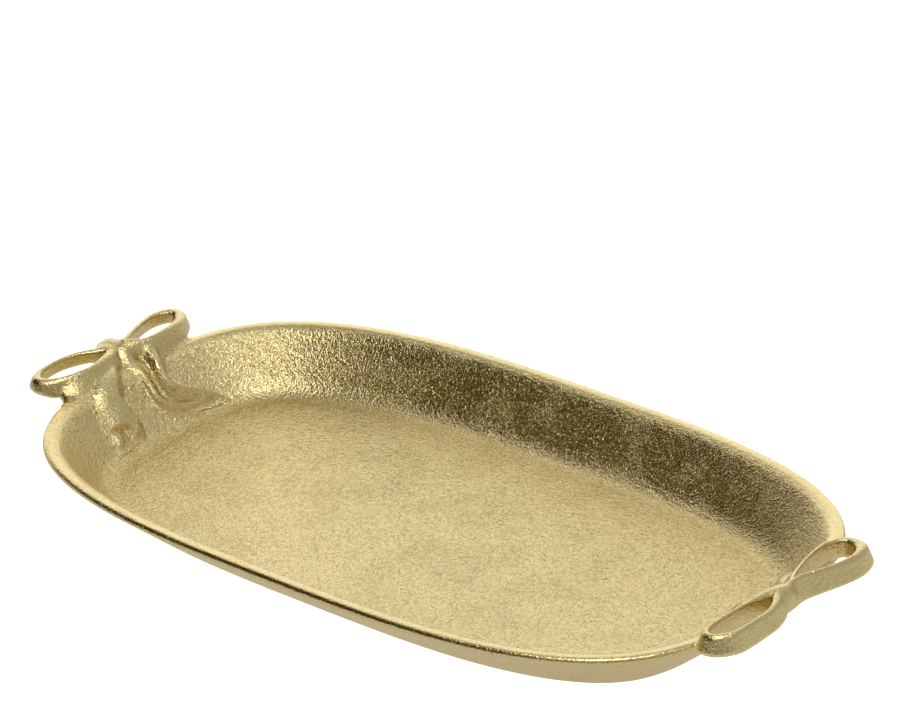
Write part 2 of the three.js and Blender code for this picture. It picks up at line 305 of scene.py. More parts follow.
def pan_tree():
    """Turns a wall profile round the rim's superellipse and gives the surface its cast unevenness."""
    tree = bpy.data.node_groups.new("Cast pan", "GeometryNodeTree")
    sockets = {}
    for name, kind in (
        ("Profile", "Geometry"),
        ("Half Length", "Float"),
        ("Half Width", "Float"),
        ("Outline Power", "Float"),
        ("Floor Edge", "Float"),
        ("Segments", "Int"),
        ("Waviness", "Float"),
        ("Wave Size", "Float"),
        ("Ripple", "Float"),
        ("Ripple Size", "Float"),
        ("Material", "Material"),
    ):
        made = tree.interface.new_socket(name, in_out="INPUT", socket_type="NodeSocket" + kind)
        sockets[name] = made.identifier
    tree.interface.new_socket("Pan", in_out="OUTPUT", socket_type="NodeSocketGeometry")
    n = Nodes(tree)
    given = n.add("NodeGroupInput").outputs
    rows = n.add("GeometryNodeAttributeDomainSize", {0: given["Profile"]}, component="MESH")
    rings = rows.outputs["Point Count"]
    around = n.math("ADD", given["Segments"], 1)
    counts = {"Size X": 1, "Size Y": 1, "Vertices X": around, "Vertices Y": rings}
    grid = n.add("GeometryNodeMeshGrid", counts)
    here = n.add("GeometryNodeInputPosition").outputs[0]
    flat = n.add("ShaderNodeSeparateXYZ", {0: here}).outputs
    turn = n.math("MULTIPLY", n.math("ADD", flat["X"], 0.5), 2 * math.pi)
    last_ring = n.math("SUBTRACT", rings, 1)
    ring = n.math("ROUND", n.math("MULTIPLY", n.math("ADD", flat["Y"], 0.5), last_ring))
    sampled = n.add("GeometryNodeSampleIndex", data_type="FLOAT_VECTOR", domain="POINT")
    n.feed(sampled.inputs["Geometry"], given["Profile"])
    n.feed(next(s for s in sampled.inputs if s.name == "Value" and s.enabled), here)
    n.feed(sampled.inputs["Index"], ring)
    section = n.add("ShaderNodeSeparateXYZ", {0: next(s for s in sampled.outputs if s.enabled)}).outputs
    power = given["Outline Power"]
    c, s = n.math("COSINE", turn), n.math("SINE", turn)
    raised = [n.math("POWER", n.math("ABSOLUTE", part), power) for part in (c, s)]
    total = n.math("ADD", *raised)
    size = n.math("POWER", total, n.math("DIVIDE", -1, power))
    parts = {}
    for axis, along, half in (("X", c, given["Half Length"]), ("Y", s, given["Half Width"])):
        unit = n.math("MULTIPLY", along, size)
        steep = n.math("POWER", n.math("ABSOLUTE", unit), n.math("SUBTRACT", power, 1))
        normal = n.math("DIVIDE", n.math("MULTIPLY", n.math("SIGN", unit), steep), half)
        parts[axis] = (n.math("MULTIPLY", unit, half), normal)
    rim = n.add("ShaderNodeCombineXYZ", {"X": parts["X"][0], "Y": parts["Y"][0]}).outputs[0]
    steepest = n.add("ShaderNodeCombineXYZ", {"X": parts["X"][1], "Y": parts["Y"][1]}).outputs[0]
    out = n.vector("NORMALIZE", steepest)
    inward = n.math("MINIMUM", section["X"], given["Floor Edge"])
    left = n.math("SUBTRACT", given["Half Length"], section["X"])
    shrink = n.math("DIVIDE", left, n.math("SUBTRACT", given["Half Length"], given["Floor Edge"]))
    shrink = n.math("MINIMUM", shrink, 1)
    moved = n.vector("SUBTRACT", rim, n.vector("SCALE", out, scale=inward))
    moved = n.vector("SCALE", moved, scale=shrink)
    lifted = n.add("ShaderNodeCombineXYZ", {"Z": section["Z"]}).outputs[0]
    placed = n.vector("ADD", moved, lifted)

    rubbed = n.ramp(section["X"], 5.6 * MM, 9 * MM, 1, 0)
    geometry = grid.outputs["Mesh"]
    store = n.add("GeometryNodeStoreNamedAttribute", data_type="FLOAT", domain="POINT")
    n.feed(store.inputs["Geometry"], geometry)
    store.inputs["Name"].default_value = "rubbed"
    n.feed(next(s for s in store.inputs if s.name == "Value" and s.enabled), rubbed)
    geometry = store.outputs["Geometry"]
    placing = {"Geometry": geometry, "Position": placed}
    geometry = n.add("GeometryNodeSetPosition", placing).outputs[0]
    merging = {"Geometry": geometry, "Distance": 1e-6}
    geometry = n.add("GeometryNodeMergeByDistance", merging).outputs[0]

    at = n.add("ShaderNodeSeparateXYZ", {0: here}).outputs
    end = n.ramp(n.math("ABSOLUTE", at["X"]), 0.150, 0.170)
    side = n.ramp(n.math("ABSOLUTE", at["Y"]), 0.058, 0.074, 1, 0)
    loose = n.math("SUBTRACT", 1, n.math("MULTIPLY", end, side))
    waves = n.noise(here, 1, 1.5)
    waves.node.inputs["Scale"].default_value = 1
    n.feed(waves.node.inputs["Scale"], n.math("DIVIDE", 1, given["Wave Size"]))
    ripples = n.noise(here, 1, 1.0)
    n.feed(ripples.node.inputs["Scale"], n.math("DIVIDE", 1, given["Ripple Size"]))
    depth = n.math("MULTIPLY", n.math("SUBTRACT", waves, 0.9), given["Waviness"])
    sandy = n.add("GeometryNodeInputNamedAttribute", {"Name": "rubbed"}, data_type="FLOAT")
    sandy = sandy.outputs["Attribute"]
    fine = n.math("MULTIPLY", n.math("SUBTRACT", ripples, 0.9), given["Ripple"])
    fine = n.math("MULTIPLY", fine, n.math("SUBTRACT", 1, sandy))
    depth = n.math("MULTIPLY", n.math("MINIMUM", n.math("ADD", depth, fine), 0), loose)
    normal = n.add("GeometryNodeInputNormal").outputs[0]
    push = n.vector("SCALE", normal, scale=depth)
    geometry = n.add("GeometryNodeSetPosition", {"Geometry": geometry, "Offset": push}).outputs[0]
    geometry = n.add("GeometryNodeSetShadeSmooth", {"Geometry": geometry}).outputs[0]
    geometry = n.add("GeometryNodeRealizeInstances", {"Geometry": geometry}).outputs[0]
    painting = {"Geometry": geometry, "Material": given["Material"]}
    geometry = n.add("GeometryNodeSetMaterial", painting).outputs[0]
    n.feed(n.add("NodeGroupOutput").inputs["Pan"], geometry)
    return tree, sockets


def make_pan(pan, material):
    profile, _, floor_edge = wall_profile(pan)
    line = [(x, 0, z) for x, z in profile]
    base = new_object("pan_profile", mesh_of("pan_profile", line, [], smooth=False))
    tree, sockets = pan_tree()
    turned = base.modifiers.new("Cast pan", "NODES")
    turned.node_group = tree
    for name, value in (
        ("Half Length", HALF_LENGTH),
        ("Half Width", HALF_WIDTH),
        ("Outline Power", pan.outline_power),
        ("Floor Edge", floor_edge),
        ("Segments", pan.segments),
        ("Waviness", pan.waviness),
        ("Wave Size", pan.wave_size),
        ("Ripple", pan.ripple),
        ("Ripple Size", 4.2 * MM),
        ("Material", material),
    ):
        turned[sockets[name]] = value
    seen = base.evaluated_get(bpy.context.evaluated_depsgraph_get())
    mesh = bpy.data.meshes.new_from_object(seen)
    bpy.data.objects.remove(base)
    mesh.name = "cast_pan"
    facing_out(mesh)
    mesh.shade_smooth()
    return new_object("cast_pan", mesh)


# --------------------------------------------------------------------------------------------------- bows
# A bow is worked out in its own frame, in millimetres: X outward from the end of the rim, Y along the rim
# towards the straight tail, Z up from the top of the rim.

# Middle of the ribbon round each loop at half its height, seen from above: [out, side, half its thickness].
# The two bows were shaped by hand, so their loops differ.
LOOPS = {
    "bow_left": (
        [(6.2, 4, 3), (10.8, 9.5, 3), (15.2, 16.5, 2.3), (18, 25, 2.1), (18.6, 33, 2.2), (17.4, 41, 2.5),
         (14.4, 46.6, 3.1), (10.4, 48.4, 3.4), (6, 46, 3.1), (2.2, 41, 2.6), (-1, 33, 2.3), (-2.4, 24, 2.2),
         (-0.8, 15, 2.5), (2.4, 7.5, 3)],
        [(5.4, -5, 2.2), (7.8, -10, 2.2), (11.6, -19, 2.2), (14.8, -29, 2.2), (15.8, -37, 2.4),
         (13.4, -44.6, 3.2), (8.2, -47.6, 3.7), (3.6, -44.6, 3.5), (-0.4, -38, 3), (-2.6, -28, 2.7),
         (-2.8, -17, 2.5), (0.6, -8.5, 2.4)],
    ),
    "bow_right": (
        [(5.6, 4, 2.2), (6.6, 12, 2.2), (9, 20, 2.1), (10.9, 27, 2.1), (12.6, 35.6, 2.4), (13, 44.4, 3.1),
         (9.8, 52, 3.9), (3, 54.9, 3.9), (-3.2, 52.2, 3), (-6.2, 43.6, 2.3), (-5.3, 34, 2.1), (-3.4, 25, 2),
         (-0.8, 16, 2.1), (2.6, 8, 2.2)],
        [(5, -3, 3.2), (7.8, -7, 3.2), (11.4, -13, 2.9), (13.6, -20, 2.5), (13.9, -28, 2.3), (14, -36, 2.2),
         (13.4, -45, 2.5), (9.5, -51.6, 2.9), (4.5, -53.6, 2.9), (0.2, -50.6, 2.5), (-0.8, -44, 2.2),
         (-0.6, -36, 2.1), (-0.4, -27, 2.1), (0, -17, 2.6), (1.6, -8, 3.4)],
    ),
}  # fmt: skip
SLIDES = {"bow_left": 0.0, "bow_right": -1.0}  # how far each bow sits along the rim
# How far each loop's top stands over the ribbon's height.
RISES = {"bow_left": (0.2, 0.6), "bow_right": (1.2, 0.4)}
# How far the outer side's lower edge stands over the inner side's.
LIFTS = {"bow_left": 2.9, "bow_right": 0.4}
# The knot and the crest beside it, as ellipsoids: [out, side, up] of the middle, then the three radii.
KNOTS = {
    "bow_left": [(10.2, 0.2, 5.2), (6.2, 8.4, 6.6), (3.6, -6.5, 4.8), (4.4, 9.0, 5.4)],
    "bow_right": [(5.3, 0.6, 4.6), (5.6, 6.2, 6.8), (0.6, -6.5, 4.6), (3.8, 9.0, 5.0)],
}
# Strokes of relief on the wall: [inward, side, height, width, crisp width] at stations from the knot down.
# A ribbon is flat with a crisp edge facing away from the straight side, a fold is round with such an edge,
# and a soft stroke is round on both sides.
STROKES = [
    # straight tail
    ("ribbon", [(-5, 2, 7.5, 8, 4), (-1.5, 7, 6.4, 13, 4.2), (2.6, 12, 5.4, 16, 4.4),
                (6.8, 17.1, 4.8, 17.5, 4.4), (10, 20, 4.6, 17, 4.4), (13.5, 20.4, 4.4, 16.5, 4.4),
                (17.8, 19.1, 4.3, 17.5, 4.5), (21.2, 18.2, 4, 17, 4.5), (23.6, 19, 3.8, 17, 4.2),
                (25.6, 20.6, 3.3, 17, 3.6), (27.2, 22.6, 2.3, 15.5, 3), (28.4, 24.6, 1, 13, 2.4)]),
    # its toe, past the notch
    ("soft", [(20, 32, 1, 8, 8), (24, 32.6, 2.6, 7, 7), (26.2, 32.4, 2.4, 6, 6),
              (27.6, 31.6, 1.2, 4.6, 4.6)]),
    # shoulder that carries the near side of the loop down into the tail
    ("soft", [(-3, 6, 9, 9, 9), (-2.4, 13, 10, 11, 11), (-2, 21, 10, 12, 12), (-2, 28, 9.4, 12, 12),
              (-2.6, 35, 8, 11, 11), (-4, 40, 6.4, 9, 9)]),
    # hollow between the tails, rising to the knot
    ("soft", [(-3, -2, 9, 9, 9), (0, -1, 7, 9.5, 9.5), (4, 1, 3, 9, 9), (8, 3, 0.8, 8, 8)]),
    # swept tail, ridge along its crease
    ("fold", [(-6, -8, 8.8, 7, 5), (-3, -13, 7.8, 7, 4.6), (1, -15.4, 6.4, 6.6, 4), (5.2, -13.4, 5.4, 6, 4.4),
              (8.5, -11.4, 5, 5.6, 4.6), (11, -10.9, 5, 5.4, 4.5), (14.2, -11.3, 5, 5.4, 4.3),
              (16.8, -13.2, 5, 5.4, 4.2), (18.6, -16.4, 4.8, 5.4, 4.2), (21.5, -23.3, 4.4, 5.2, 4.4),
              (24.6, -30.4, 3.5, 4.6, 4), (27, -35.6, 2.1, 3.4, 3), (28.2, -38.6, 0.8, 1.8, 1.6)]),
    # the fold's root, under the crest beside the knot
    ("soft", [(-4, -10.5, 8.4, 8, 8), (-1, -11.5, 7.6, 8, 8), (2, -12.2, 6.4, 7, 7), (5, -12, 5, 5.4, 5.4)]),
    # swept tail, second and softer ridge
    ("soft", [(3.5, -0.6, 2, 5, 5), (6.5, -0.6, 2.9, 5, 5), (9, -1, 3.3, 5, 5), (12.8, -1.4, 3.4, 4.8, 4.8),
              (17.5, -1.8, 3.4, 4.8, 4.8), (20.8, -4.6, 3.3, 4.8, 4.8), (23.2, -9.6, 3.1, 4.6, 4.6),
              (25.8, -19.1, 2.7, 4.2, 4.2), (27.6, -28, 2, 3.4, 3.4), (28.4, -34, 1, 2.2, 2.2)]),
]  # fmt: skip


def smooth_min(a, b, reach):
    """The smaller of two fields, with their meeting rounded over a reach."""
    share_of = np.clip(0.5 + 0.5 * (b - a) / reach, 0, 1)
    return b + (a - b) * share_of - reach * share_of * (1 - share_of)


def smooth_path(stations, steps, closed=False):
    """A Catmull-Rom curve through rows of numbers."""
    p = np.array(stations, float)
    if closed:
        p = np.vstack([p[-1], p, p[0], p[1]])
    else:
        p = np.vstack([2 * p[0] - p[1], p, 2 * p[-1] - p[-2]])
    t = np.linspace(0, 1, steps, endpoint=False)[:, None]
    rows = []
    for a, b, c, d in zip(p, p[1:], p[2:], p[3:]):
        second = 2 * a - 5 * b + 4 * c - d
        third = 3 * b - a - 3 * c + d
        rows.append(0.5 * (2 * b + (c - a) * t + second * t**2 + third * t**3))
    rows = np.vstack(rows)
    return rows if closed else np.vstack([rows, p[-2]])


def nearest(points, path):
    """For each point, the nearest row of the path: its number and its distance."""
    which = np.empty(len(points), int)
    away = np.empty(len(points))
    for start in range(0, len(points), 4000):
        part = points[start : start + 4000]
        squares = ((part[:, None, :] - path[None, :, :]) ** 2).sum(2)
        which[start : start + 4000] = squares.argmin(1)
        away[start : start + 4000] = np.sqrt(squares.min(1))
    return which, away


def section_field(pan):
    """The pan's section as a signed distance on a fine grid of [inward, height over the rim's top]."""
    profile, inner, _ = wall_profile(pan, 12)
    outline = profile / MM - np.array([0, RIM_TOP / MM])
    ins = np.arange(-30, 70.1, GRID)
    ups = np.arange(-34, 20.1, GRID)
    at = np.stack(np.meshgrid(ins, ups, indexing="ij"), -1).reshape(-1, 2)
    best = np.full(len(at), 1e9)
    inside = np.zeros(len(at), bool)
    closed = np.vstack([outline, outline[:1]])
    for a, b in zip(closed, closed[1:]):
        edge = b - a
        if not edge.any():
            continue
        t = np.clip(((at - a) @ edge) / (edge @ edge), 0, 1)
        best = np.minimum(best, np.hypot(*(at - a - t[:, None] * edge).T))
        crosses = (a[1] > at[:, 1]) != (b[1] > at[:, 1])
        with np.errstate(divide="ignore", invalid="ignore"):
            reach = a[0] + (at[:, 1] - a[1]) * edge[0] / edge[1]
        inside ^= crosses & (at[:, 0] < reach)
    field = np.where(inside, -best, best).reshape(len(ins), len(ups))
    top = outline[inner:]
    return ins, ups, field, top


def look_up(ins, ups, field, inward, height):
    """Reads the section's field at [inward, height], between its points."""
    i = np.clip((inward - ins[0]) / GRID, 0, len(ins) - 1.001)
    k = np.clip((height - ups[0]) / GRID, 0, len(ups) - 1.001)
    i0, k0 = i.astype(int), k.astype(int)
    fi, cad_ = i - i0, k - k0
    low = field[i0, k0] * (1 - fi) + field[i0 + 1, k0] * fi
    high = field[i0, k0 + 1] * (1 - fi) + field[i0 + 1, k0 + 1] * fi
    return low * (1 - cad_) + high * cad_


def rim_inset(pan, out, side):
    """Distance inward from the rim's outer edge, for plan points in the bow's frame."""
    t = np.linspace(-1.15, 1.15, 2400)
    power = pan.outline_power
    c, s = np.cos(t), np.sin(t)
    size = (np.abs(c) ** power + np.abs(s) ** power) ** (-1 / power)
    a, b = HALF_LENGTH / MM, HALF_WIDTH / MM
    edge = np.stack([a * c * size, b * s * size], 1)
    steep = [np.abs(c * size) ** (power - 1) / a, np.sign(s) * np.abs(s * size) ** (power - 1) / b]
    normal = np.stack(steep, 1)
    normal /= np.linalg.norm(normal, axis=1)[:, None]
    points = np.stack([a + out, side], 1)
    which, _ = nearest(points, edge)
    return -((points - edge[which]) * normal[which]).sum(1)


def ribbon_field(plan, heights, loop, rise, lift, bow):
    """Signed distance to the ribbon of one loop, standing on edge, and to the hole it leaves."""
    path = smooth_path(loop, 24, closed=True)
    which, away = nearest(plan, path[:, :2])
    within = np.zeros(len(plan), bool)
    for start, end in zip(path, np.roll(path, -1, 0)):
        crosses = (start[1] > plan[:, 1]) != (end[1] > plan[:, 1])
        if crosses.any():
            slope = (end[0] - start[0]) / (end[1] - start[1])
            within ^= crosses & (plan[:, 0] < start[0] + (plan[:, 1] - start[1]) * slope)
    turn = which / len(path) * 2 * math.pi
    thick = path[which, 2] * bow.ribbon_thickness / (4.3 * MM)
    top = bow.ribbon_height / MM - 0.9 + rise + 0.35 * np.sin(turn + 1.5) + 0.2 * np.sin(3 * turn)
    bottom = -0.4 + 0.3 * np.sin(2 * turn) + 0.5 * np.clip(thick - 2.2, 0, 2)
    bottom = bottom + lift * np.clip((path[which, 0] - 5) / 7, 0, 1)
    half = (top - bottom) / 2
    middle = (top + bottom) / 2
    rounding = bow.ribbon_rounding / MM + 0.4 * np.clip(thick - 2.2, 0, 2)
    above = heights[None, :] - middle[:, None]
    draft = bow.draft * np.clip(above, -6, 6)
    across = np.where(within, -away, away)[:, None] + draft
    thin = np.maximum(thick[:, None] - draft, 1.05)
    soft = np.minimum(rounding[:, None], thin - 0.02)
    a = np.abs(across) - (thin - soft)
    b = np.abs(above) - (half[:, None] - soft)
    ribbon = np.hypot(np.maximum(a, 0), np.maximum(b, 0)) + np.minimum(np.maximum(a, b), 0) - soft
    hole = np.where(within, -away, away) + thick
    return ribbon, hole


def ellipsoid_field(plan, heights, centre, radii):
    away = [((plan[:, i] - centre[i]) / radii[i])[:, None] for i in (0, 1)]
    up = ((heights - centre[2]) / radii[2])[None, :]
    size = np.sqrt(away[0] ** 2 + away[1] ** 2 + up**2)
    return (size - 1) * min(radii)


def tail_field(plan, inward, over_pan, along_wall, slide, fade):
    """Distance to the tails, which stand in relief on the pan's wall."""
    wall = np.stack([along_wall(inward), plan[:, 1] - slide], 1)
    field = None
    for kind, stations in STROKES:
        rows = np.array(stations, float)
        lean = np.interp(rows[:, 0], [1, 8, 20, 25.5, 29], [0, 0.76, 0.7, 0.4, 0])
        rows[:, 0] = along_wall(rows[:, 0] + lean * rows[:, 2])
        path = smooth_path(rows, 14)
        which, away = nearest(wall, path[:, :2])
        ahead = path[np.minimum(which + 1, len(path) - 1), :2] - path[np.maximum(which - 1, 0), :2]
        gap = wall - path[which, :2]
        crisp = (kind != "soft") & (ahead[:, 0] * gap[:, 1] - ahead[:, 1] * gap[:, 0] < 0)
        height, soft, sharp = path[which, 2], path[which, 3], path[which, 4]
        if kind == "ribbon":
            gentle = (1 - np.clip(away / soft, 0, 1) ** 3) ** 1.5
        elif kind == "fold":
            gentle = (1 - np.clip(away / soft, 0, 1) ** 2) ** 1.5
        else:
            gentle = 0.5 + 0.5 * np.cos(math.pi * np.clip(away / soft, 0, 1))
        steep = (1 - np.clip(away / sharp, 0, 1) ** 1.6) ** 0.75
        raised = height * np.where(crisp, steep, gentle)
        raised = raised * fade
        beyond = away - np.where(crisp, sharp, soft)
        part = np.maximum((over_pan - raised[:, None]) * 0.8, beyond[:, None])
        field = part if field is None else smooth_min(field, part, 1.6)
    return field


def untangle(field, rounds=20):
    """Fills the corners where the body would touch itself along an edge, so that its skin closes."""
    for _ in range(rounds):
        inside = field < 0
        fill = np.zeros_like(inside)
        for axis in range(3):
            part = np.moveaxis(inside, axis, 0)
            marks = np.moveaxis(fill, axis, 0)
            a, b, c, d = part[:, :-1, :-1], part[:, 1:, :-1], part[:, :-1, 1:], part[:, 1:, 1:]
            marks[:, 1:, :-1] |= a & d & ~b & ~c
            marks[:, :-1, :-1] |= b & c & ~a & ~d
        if not fill.any():
            break
        field = np.where(fill, -0.04, field)
    return field


def skin(field, origin, step):
    """Surface nets: one point in each cell that the surface crosses, joined across each crossed edge."""
    inside = field < 0
    cells = tuple(n - 1 for n in field.shape)

    def corner(array, i, j, k):
        return array[i : i + cells[0], j : j + cells[1], k : k + cells[2]]

    total = sum(corner(inside, i, j, k).astype(np.int8) for i in (0, 1) for j in (0, 1) for k in (0, 1))
    active = (total > 0) & (total < 8)
    number = np.full(cells, -1)
    number[active] = np.arange(active.sum())
    place = np.zeros((active.sum(), 3))
    count = np.zeros(active.sum())
    for axis in range(3):
        others = [a for a in range(3) if a != axis]
        for u in (0, 1):
            for v in (0, 1):
                low = [0, 0, 0]
                low[others[0]], low[others[1]] = u, v
                high = list(low)
                high[axis] = 1
                a, b = corner(field, *low)[active], corner(field, *high)[active]
                crossed = (a < 0) != (b < 0)
                share_of = np.where(crossed, a / np.where(crossed, a - b, 1), 0)
                at = np.array(low, float)[None, :].repeat(len(a), 0)
                at[:, axis] += share_of
                place[crossed] += at[crossed]
                count[crossed] += 1
    place = place / count[:, None] + np.argwhere(active)
    faces = []
    for axis in range(3):
        u, v = (axis + 1) % 3, (axis + 2) % 3
        first = np.take(inside, range(field.shape[axis] - 1), axis)
        second = np.take(inside, range(1, field.shape[axis]), axis)
        edges = np.argwhere(first != second)
        keep = (edges[:, u] > 0) & (edges[:, v] > 0) & (edges[:, u] < cells[u]) & (edges[:, v] < cells[v])
        edges = edges[keep]
        ring = []
        for du, dv in ((-1, -1), (0, -1), (0, 0), (-1, 0)):
            at = edges.copy()
            at[:, u] += du
            at[:, v] += dv
            ring.append(number[tuple(at.T)])
        ring = np.stack(ring, 1)
        starts_inside = first[tuple(edges.T)]
        ring[~starts_inside] = ring[~starts_inside][:, ::-1]
        faces.append(ring)
    return place * step + origin, np.vstack(faces)


def relax(points, faces, rounds):
    """Evens out the skin without shrinking it."""
    pairs = np.vstack([faces[:, [i, (i + 1) % 4]] for i in range(4)])
    pairs = np.unique(np.sort(pairs, 1), axis=0)
    degree = np.bincount(pairs.ravel(), minlength=len(points))[:, None]
    for _ in range(rounds):
        for pull in (0.5, -0.52):
            total = np.zeros_like(points)
            np.add.at(total, pairs[:, 0], points[pairs[:, 1]])
            np.add.at(total, pairs[:, 1], points[pairs[:, 0]])
            points = points + pull * (total / degree - points)
    return points


def hollows(points, faces):
    """How deep in a hollow each point lies: above 0 in creases, below 0 on ridges."""
    pairs = np.vstack([faces[:, [i, (i + 1) % 4]] for i in range(4)])
    degree = np.bincount(pairs.ravel(), minlength=len(points))

    def around(values):
        total = np.zeros_like(values)
        np.add.at(total, pairs[:, 0], values[pairs[:, 1]])
        np.add.at(total, pairs[:, 1], values[pairs[:, 0]])
        return total / (degree[:, None] if values.ndim > 1 else degree)

    corners = points[faces]
    facing = np.cross(corners[:, 2] - corners[:, 0], corners[:, 3] - corners[:, 1])
    normal = np.zeros_like(points)
    for i in range(4):
        np.add.at(normal, faces[:, i], facing)
    normal /= np.linalg.norm(normal, axis=1)[:, None] + 1e-12
    wide = points
    for i in range(3):
        wide = around(wide)
    depth = ((wide - points) * normal).sum(1)
    for i in range(2):
        depth = around(depth)
    return depth


def make_bow(name, pan, bow):
    sign = 1 if name == "bow_right" else -1
    low, high = (np.array(c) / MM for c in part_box(name))
    step = bow.step / MM
    outs, sides, heights = (np.arange(*reach, step) for reach in GRIDS)
    plan = np.stack(np.meshgrid(outs, sides, indexing="ij"), -1).reshape(-1, 2)
    inward = rim_inset(pan, plan[:, 0], plan[:, 1])
    ins, ups, section, top = section_field(pan)
    level = np.broadcast_to(heights[None, :], (len(plan), len(heights)))
    over_pan = look_up(ins, ups, section, np.broadcast_to(inward[:, None], level.shape), level)
    run = np.concatenate([[0], np.cumsum(np.hypot(*np.diff(top, axis=0).T))]) + top[0, 0]

    def along_wall(depth):
        return np.where(depth > top[0, 0], np.interp(depth, top[:, 0], run), depth)

    slide = SLIDES[name]
    ribbons = [
        ribbon_field(plan, heights, loop, rise, LIFTS[name], bow)
        for loop, rise in zip(LOOPS[name], RISES[name])
    ]
    (first, first_hole), (second, second_hole) = ribbons
    loops = smooth_min(first, second, 2.0)
    for centre, radii in zip(KNOTS[name][::2], KNOTS[name][1::2]):
        knot = ellipsoid_field(plan, heights, (centre[0], centre[1] + slide, centre[2]), radii)
        loops = smooth_min(loops, knot, 3.4)
    inside_height = np.interp(inward, top[:, 0], top[:, 1])
    fade = np.clip((inside_height + RIM_TOP / MM - low[2] - 0.4) / 1.5, 0, 1)
    tails = tail_field(plan, inward, over_pan, along_wall, slide, fade)
    tails = np.maximum(tails, inside_height[:, None] - 1.4 - level)
    tails = np.maximum(tails, -9 - inward[:, None])
    body = smooth_min(loops, tails, 2.6)
    near_rim = np.clip((14 - inward) / 10, 0, 1)[:, None]
    reach = 0.6 + (bow.fillet / MM - 0.6) * near_rim
    joined = smooth_min(body, over_pan, reach)
    buried = -(over_pan + BURIED)
    field = np.maximum(np.maximum(joined + 0.06, buried), body - 3.2)
    for hole in (first_hole, second_hole):
        field = -smooth_min(-field, hole[:, None] + np.zeros_like(field), 1.0)
    box = np.array([low, high]) if sign > 0 else -np.array([high, low])
    wide = box[:, 0] - HALF_LENGTH / MM
    deep = box[:, 1]
    for limits, at in ((wide, plan[:, :1]), (deep, plan[:, 1:])):
        field = np.maximum(field, np.maximum(limits[0] + MARGIN - at, at - limits[1] + MARGIN))
    field = np.maximum(field, level + RIM_TOP / MM - high[2] + MARGIN)
    field = np.maximum(field, low[2] + 0.15 - level - RIM_TOP / MM)
    field = untangle(field.reshape(len(outs), len(sides), len(heights)))
    points, faces = skin(field, np.array([outs[0], sides[0], heights[0]]), step)
    points = relax(points, faces, 4)
    over = look_up(ins, ups, section, rim_inset(pan, points[:, 0], points[:, 1]), points[:, 2])
    depth = hollows(points, faces)
    points = points + np.array([HALF_LENGTH / MM, 0, RIM_TOP / MM])
    points[:, :2] *= sign
    points = np.clip(points, low, high) * MM
    mesh = mesh_of("cast_" + name, points, faces)
    rubbed = mesh.attributes.new("rubbed", "FLOAT", "POINT")
    rubbed.data.foreach_set("value", np.clip((over - 0.2) / 1.6, 0, 1).astype(np.float32))
    # The hollow attribute is the mask for painted shade: the brass material darkens the bows' creases by it.
    hollow = mesh.attributes.new("hollow", "FLOAT", "POINT")
    hollow.data.foreach_set("value", np.clip(depth / (0.25 * step), -1, 1).astype(np.float32))
    return new_object("cast_" + name, mesh)


# --------------------------------------------------------------------------------------------------- feet


def make_foot(name):
    """A stick-on bumper: a squat disc with a rounded edge and a shallow dimple underneath."""
    low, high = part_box(name)
    centre = [(a + b) / 2 for a, b in zip(low, high)]
    radius, height = (high[0] - low[0]) / 2, high[2] - low[2]
    dimple = 0.12 * height
    profile = [(0, dimple), (0.35 * radius, dimple), (0.5 * radius, 0.4 * dimple), (0.6 * radius, 0)]
    profile += [(0.82 * radius, 0), (0.92 * radius, 0.1 * height), (0.98 * radius, 0.35 * height)]
    profile += [(radius, 0.7 * height), (0.985 * radius, 0.97 * height), (0.97 * radius, height), (0, height)]
    around = AROUND_FOOT
    points, faces = [], []
    for r, z in profile:
        for i in range(around):
            a = 2 * math.pi * i / around
            points.append((centre[0] + r * math.cos(a), centre[1] + r * math.sin(a), low[2] + z))
    for ring in range(len(profile) - 1):
        for i in range(around):
            j = (i + 1) % around
            here, above = ring * around, (ring + 1) * around
            faces.append((here + i, here + j, above + j, above + i))
    mesh = mesh_of("bumper_" + name, points, faces)
    facing_out(mesh)
    return new_object("bumper_" + name, mesh)


# ---------------------------------------------------------------------------------------------- materials


